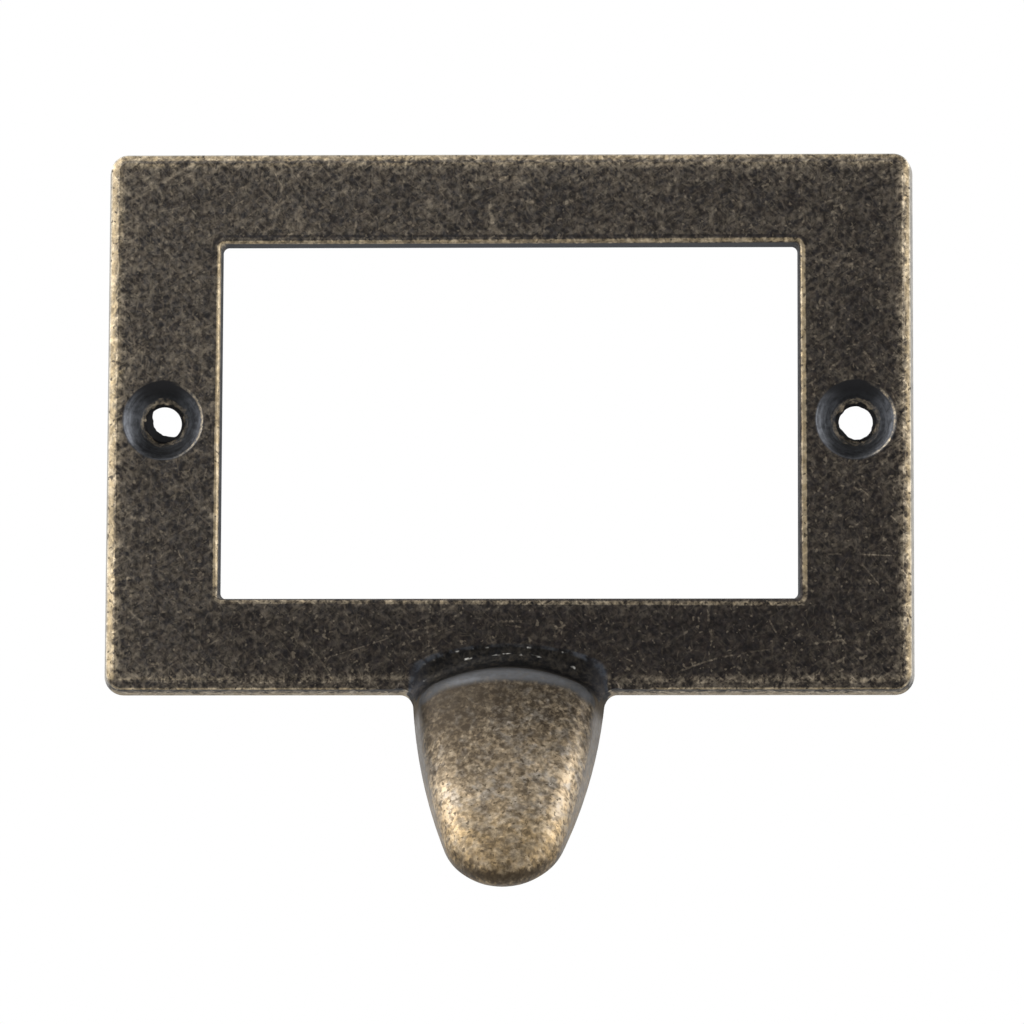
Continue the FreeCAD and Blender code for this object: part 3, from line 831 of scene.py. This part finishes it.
# How far each lip stands in everywhere and at its deepest, where that is and how far it spreads, in
# degrees from the right over the top, and where its ripples start.
LEFT_LIP = (-0.02 * MM, 0.72 * MM, 222, 82, 0.4)
RIGHT_LIP = (0.13 * MM, 0.15 * MM, 228, 30, 2.1)
# Waves round the bore, share of the depth and how often the start is added.
RIPPLES = ((5, 1.0, 1), (9, 0.7, 2), (16, 0.5, 0))
RIPPLE_DEPTH = 0.025 * MM
RING_CORNERS, TUBE_CORNERS = 96, 12


def lip_reach(angle, everywhere, deepest, toward, spread, phase):
    """How far the lip stands into the bore at this angle, which grows from the right over the top."""
    away = (math.degrees(angle) - toward + 180) % 360 - 180
    lobe = math.exp(-(away / spread) ** 4)
    ragged = sum(share * math.sin(waves * angle + shifts * phase) for waves, share, shifts in RIPPLES)
    return everywhere + deepest * lobe + RIPPLE_DEPTH * ragged


def bore_lip(settings, centre_x, shape):
    """Ragged lip that the casting's skin leaves in a bore: a slender ring drawn inwards where it is deepest.
    """
    half = settings.lip_thickness / 2
    bpy.ops.mesh.primitive_torus_add(
        location=(centre_x, -settings.lip_out, 0), rotation=(math.radians(90), 0, 0),
        major_segments=RING_CORNERS, minor_segments=TUBE_CORNERS, major_radius=settings.bore_radius,
        minor_radius=half)
    bpy.ops.object.transform_apply(location=True, rotation=True, scale=True)
    lip = bpy.context.active_object
    for corner in lip.data.vertices:
        x, z = corner.co.x - centre_x, corner.co.z
        radius, angle = math.hypot(x, z), math.atan2(z, x)
        inwards = max(0.0, (settings.bore_radius - radius) / half)
        reach = lip_reach(angle, *shape) - half
        moved = radius - inwards * max(reach, 0.0)
        corner.co.x = centre_x + moved * math.cos(angle)
        corner.co.z = moved * math.sin(angle)
    return lip


class PULL_OT_casting(bpy.types.Operator):
    """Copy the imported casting, merge its triangles and shade its rounds smooth"""

    bl_idname = "label_pull.casting"
    bl_label = "Casting"

    def execute(self, context):
        settings = context.scene.pull_casting
        choose(frame["nodes"][CASTING_NODE])
        bpy.ops.object.duplicate(linked=False)
        piece = context.active_object
        if piece is frame["nodes"][CASTING_NODE]:
            raise RuntimeError("the casting was not copied")
        piece.name = piece.data.name = PIECE_NAME
        del piece["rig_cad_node"]
        bpy.ops.object.mode_set(mode="EDIT")
        bpy.ops.mesh.select_all(action="SELECT")
        bpy.ops.mesh.customdata_custom_splitnormals_clear()
        bpy.ops.mesh.remove_doubles(threshold=settings.merge_distance)
        bpy.ops.object.mode_set(mode="OBJECT")
        hole_x = NODE_HIGH.x - settings.hole_inset
        left = bore_lip(settings, -hole_x, LEFT_LIP)
        right = bore_lip(settings, hole_x, RIGHT_LIP)
        choose(piece, left, right)
        bpy.ops.object.join()
        bpy.ops.object.shade_smooth_by_angle(angle=settings.smooth_angle)
        bpy.ops.object.modifier_add(type="WEIGHTED_NORMAL")
        weighted = piece.modifiers[-1]
        weighted.keep_sharp = True
        bpy.ops.object.modifier_apply(modifier=weighted.name)
        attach(piece, "root")
        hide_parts(CASTING_NODE)
        return {"FINISHED"}


class PULL_OT_finish(bpy.types.Operator):
    """Give the casting its relieved antique brass finish"""

    bl_idname = "label_pull.finish"
    bl_label = "Antique brass finish"

    def execute(self, context):
        piece = bpy.data.objects.get(PIECE_NAME)
        if piece is None:
            raise RuntimeError("make the casting first")
        piece.data.materials.clear()
        finish, casting = context.scene.pull_finish, context.scene.pull_casting
        piece.data.materials.append(antique_brass(finish, casting.hole_inset))
        return {"FINISHED"}


# Name, degrees to the right and up, width, height and the setting of its brightness.
SOFT_BOXES = (
    ("soft_box_left", -73, 10, 0.92, 0.60, "side_light"),
    ("soft_box_right", 73, 10, 0.92, 0.60, "side_light"),
    ("soft_box_upper_left", -76, 44, 0.92, 0.80, "top_light"),
    ("soft_box_upper_right", 90, 36, 0.72, 0.42, "top_light"),
    ("soft_box_overhead", -30, 68, 0.46, 0.26, "overhead_light"))
LAMP_DISTANCE = 0.95
FLOOR_SIZE = 6.0
FOCAL_PIXELS = 8062
# The middle of the picture lies this far to the right of the origin and above it.
AIM_RIGHT, AIM_UP = 2.1 / FOCAL_PIXELS, -87.6 / FOCAL_PIXELS


def direction(azimuth, elevation):
    """Unit vector from the origin; azimuth 0 is the front and grows to the right, both in degrees."""
    turn, rise = math.radians(azimuth), math.radians(elevation)
    return Vector((math.sin(turn) * math.cos(rise), -math.cos(turn) * math.cos(rise), math.sin(rise)))


def soft_box(name, azimuth, elevation, width, height, brightness):
    """Rectangular lamp aimed at the pull; its face is as bright as this number says."""
    where = direction(azimuth, elevation) * LAMP_DISTANCE
    bpy.ops.object.light_add(type="AREA", location=where, rotation=where.to_track_quat("Z", "Y").to_euler())
    lamp = bpy.context.active_object
    lamp.name = lamp.data.name = name
    lamp.data.shape = "RECTANGLE"
    lamp.data.size, lamp.data.size_y = width, height
    lamp.data.energy = brightness * math.pi * width * height


def floor_material(stage):
    """Plain pale floor that melts into the white background and is clear from below."""
    material = emptied(bpy.data.materials.new("pale_floor"))
    sheet = NodeSheet(material.node_tree)
    melts, patch_share, patch_tone, matt_roughness = (0.35, 1.1), 0.06, grey(0.7), 0.8
    place = sheet.add("ShaderNodeTexCoord").outputs["Object"]
    from_middle = sheet.vector("LENGTH", sheet.vector("MULTIPLY", place, (1, 1, 0)))
    far = sheet.ramp(from_middle, *melts)
    patches = sheet.ramp(sheet.noise(place, 9.0, detail=2.0), *NOISE_SPAN, 0.0, patch_share)
    colour = sheet.tint(patches, tuple(stage.floor_colour), patch_tone)
    matt = sheet.add("ShaderNodeBsdfPrincipled", {"Base Color": colour, "Roughness": matt_roughness})
    white = sheet.add("ShaderNodeEmission", {"Color": WHITE, "Strength": 1.0})
    path = sheet.add("ShaderNodeLightPath").outputs
    seen = sheet.times(far, path["Is Camera Ray"])
    top = sheet.add("ShaderNodeMixShader", {0: seen, 1: matt.outputs[0], 2: white.outputs[0]})
    clear = sheet.add("ShaderNodeBsdfTransparent")
    under = sheet.add("ShaderNodeNewGeometry").outputs["Backfacing"]
    both = sheet.add("ShaderNodeMixShader", {0: under, 1: top.outputs[0], 2: clear.outputs[0]})
    sheet.add("ShaderNodeOutputMaterial", {"Surface": both.outputs[0]})
    return material


def white_world(ambient):
    """White to the eye and in reflections, softer for the light on matt surfaces."""
    world = emptied(bpy.data.worlds.new("white_surroundings"))
    sheet = NodeSheet(world.node_tree)
    path = sheet.add("ShaderNodeLightPath").outputs
    seen = sheet.math("ADD", path["Is Camera Ray"], path["Is Glossy Ray"])
    seen = sheet.math("ADD", seen, path["Is Transmission Ray"], clamp=True)
    soft = sheet.add("ShaderNodeBackground", {"Color": WHITE, "Strength": ambient})
    white = sheet.add("ShaderNodeBackground", {"Color": WHITE, "Strength": 1.0})
    both = sheet.add("ShaderNodeMixShader", {0: seen, 1: soft.outputs[0], 2: white.outputs[0]})
    sheet.add("ShaderNodeOutputWorld", {"Surface": both.outputs[0]})
    return world


def place_camera(stage):
    """Camera a little below and to the right of the pull, as for the product view."""
    below, right, roll = stage.camera_below, stage.camera_right, stage.camera_roll
    back = direction(math.degrees(right), -math.degrees(below))
    side = Vector((math.cos(right), math.sin(right), 0))
    up = back.cross(side)
    side, up = (side * math.cos(roll) + up * math.sin(roll),
                up * math.cos(roll) - side * math.sin(roll))
    forward = (-back + side * AIM_RIGHT + up * AIM_UP).normalized()
    side = forward.cross(up).normalized()
    up = side.cross(forward)
    bpy.ops.object.camera_add()
    camera = bpy.context.active_object
    camera.name = camera.data.name = "product_camera"
    turn = Matrix((side, up, -forward)).transposed().to_4x4()
    camera.matrix_world = Matrix.Translation(back * stage.camera_distance) @ turn
    camera.data.lens = stage.lens
    camera.data.clip_start, camera.data.clip_end = 0.01, 50.0
    bpy.context.scene.camera = camera


class PULL_OT_stage(bpy.types.Operator):
    """Set up the pale floor, the soft boxes, the white surroundings and the camera"""

    bl_idname = "label_pull.stage"
    bl_label = "Stage"

    def execute(self, context):
        stage = context.scene.pull_stage
        bpy.ops.object.select_all(action="DESELECT")
        bpy.ops.mesh.primitive_plane_add(size=FLOOR_SIZE, location=(0, 0, -stage.floor_drop))
        floor = context.active_object
        floor.name = floor.data.name = "floor"
        floor.data.materials.append(floor_material(stage))
        for name, azimuth, elevation, width, height, light in SOFT_BOXES:
            soft_box(name, azimuth, elevation, width, height, getattr(stage, light))
        context.scene.world = white_world(stage.ambient)
        context.scene.view_settings.view_transform = "Standard"
        place_camera(stage)
        return {"FINISHED"}


class PULL_PT_panel(bpy.types.Panel):
    """Lists the settings and the steps of the label frame pull"""

    bl_idname = "PULL_PT_panel"
    bl_label = "Label frame pull"
    bl_space_type = "VIEW_3D"
    bl_region_type = "UI"
    bl_category = "Label Pull"

    def draw(self, context):
        for operator, settings in (
                (PULL_OT_casting, context.scene.pull_casting),
                (PULL_OT_finish, context.scene.pull_finish),
                (PULL_OT_stage, context.scene.pull_stage)):
            box = self.layout.box()
            for name in settings.__annotations__:
                box.prop(settings, name)
            box.operator(operator.bl_idname)


CLASSES = (PullCastingSettings, PullFinishSettings, PullStageSettings,
           PULL_OT_casting, PULL_OT_finish, PULL_OT_stage, PULL_PT_panel)
SETTINGS = {"pull_casting": PullCastingSettings, "pull_finish": PullFinishSettings,
            "pull_stage": PullStageSettings}


def register():
    for cls in CLASSES:
        bpy.utils.register_class(cls)
    for name, group in SETTINGS.items():
        setattr(bpy.types.Scene, name, bpy.props.PointerProperty(type=group))


def unregister():
    for name in SETTINGS:
        delattr(bpy.types.Scene, name)
    for cls in reversed(CLASSES):
        bpy.utils.unregister_class(cls)


def main():
    register()
    bpy.ops.label_pull.casting()
    bpy.ops.label_pull.finish()
    bpy.ops.label_pull.stage()
    bpy.context.view_layer.update()


if __name__ == "__main__":
    main()
